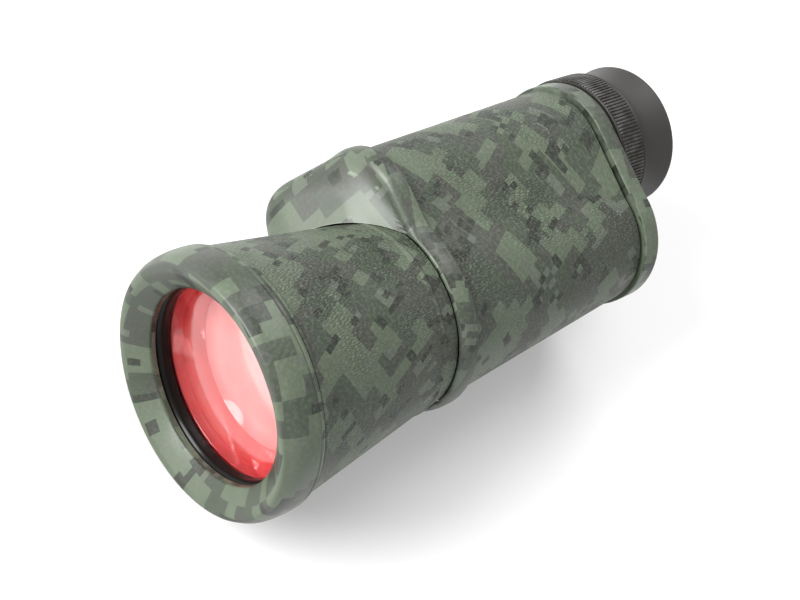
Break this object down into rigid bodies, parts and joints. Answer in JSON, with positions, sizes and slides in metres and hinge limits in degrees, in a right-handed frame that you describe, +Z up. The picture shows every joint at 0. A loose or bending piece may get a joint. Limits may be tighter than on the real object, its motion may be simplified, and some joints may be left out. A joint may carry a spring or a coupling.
{
  "type": "prism monocular",
  "caption": "Ranging prism monocular with a hooded objective, a camouflaged body and an eyepiece that screws in and out to focus.",
  "frame": {"origin": "on the ground under the middle of the bounding box, with the instrument lying on its side", "axes": "+Y along the optical axis from the objective to the eye, +X away from the eyepiece side, +Z up, out of the near side"},
  "size_m": [0.0852, 0.1834, 0.071],
  "materials": {
    "camo_paint": "smooth digital camouflage paint",
    "camo_grain": "fine pebbled grain with digital camouflage",
    "black_alloy": "black anodised",
    "cast_alloy": "bare casting",
    "steel": "plain",
    "black_rubber": "smooth moulded",
    "ruby_glass": "ruby coated",
    "optical_glass": "polished"
  },
  "bodies": {
    "monocular_body": {"body_housing": "cast_alloy", "eyepiece_sleeve": "black_alloy", "focus_ring_nut": "steel", "front_cover": "camo_paint", "front_gasket": "black_rubber", "front_prism": "optical_glass", "front_prism_clip": "steel", "lens_retaining_ring": "black_alloy", "objective_baffle": "black_alloy", "objective_cell": "black_alloy", "objective_crown_lens": "ruby_glass", "objective_flint_lens": "optical_glass", "objective_hood": "camo_paint", "objective_o_ring": "black_rubber", "objective_tube": "camo_grain", "prism_shelf": "cast_alloy", "ranging_reticle": "optical_glass", "rear_cover": "camo_paint", "rear_cover_screw_1": "steel", "rear_cover_screw_2": "steel", "rear_cover_screw_3": "steel", "rear_gasket": "black_rubber", "rear_prism": "optical_glass", "rear_prism_clip": "steel", "reticle_retaining_ring": "black_alloy", "rubber_armour": "camo_grain", "shelf_screw_1": "steel", "shelf_screw_2": "steel", "shelf_screw_3": "steel", "tube_lock_ring": "black_alloy"},
    "focus_ring": {"focus_ring": "black_alloy"},
    "eyepiece": {"eyepiece_carrier": "black_alloy", "focus_drive_pin": "steel", "field_lens": "optical_glass", "lens_spacer": "black_alloy", "eye_lens": "optical_glass", "eye_lens_retaining_ring": "black_alloy", "rubber_eyecup": "black_rubber"}
  },
  "joints": [
    {"name": "focus_ring_turn", "type": "hinge", "parent": "monocular_body", "child": "focus_ring", "pos_m": [-0.01895, 0.07145, 0.0355], "axis": [0, 1, 0], "range_deg": [0, 320]},
    {"name": "eyepiece_slide", "type": "slide", "parent": "monocular_body", "child": "eyepiece", "axis": [0, 1, 0], "range_m": [0, 0.0036]}
  ],
  "couplings": [
    {"joint": "eyepiece_slide", "follows": "focus_ring_turn", "m_per_rad": 0.000644}
  ]
}
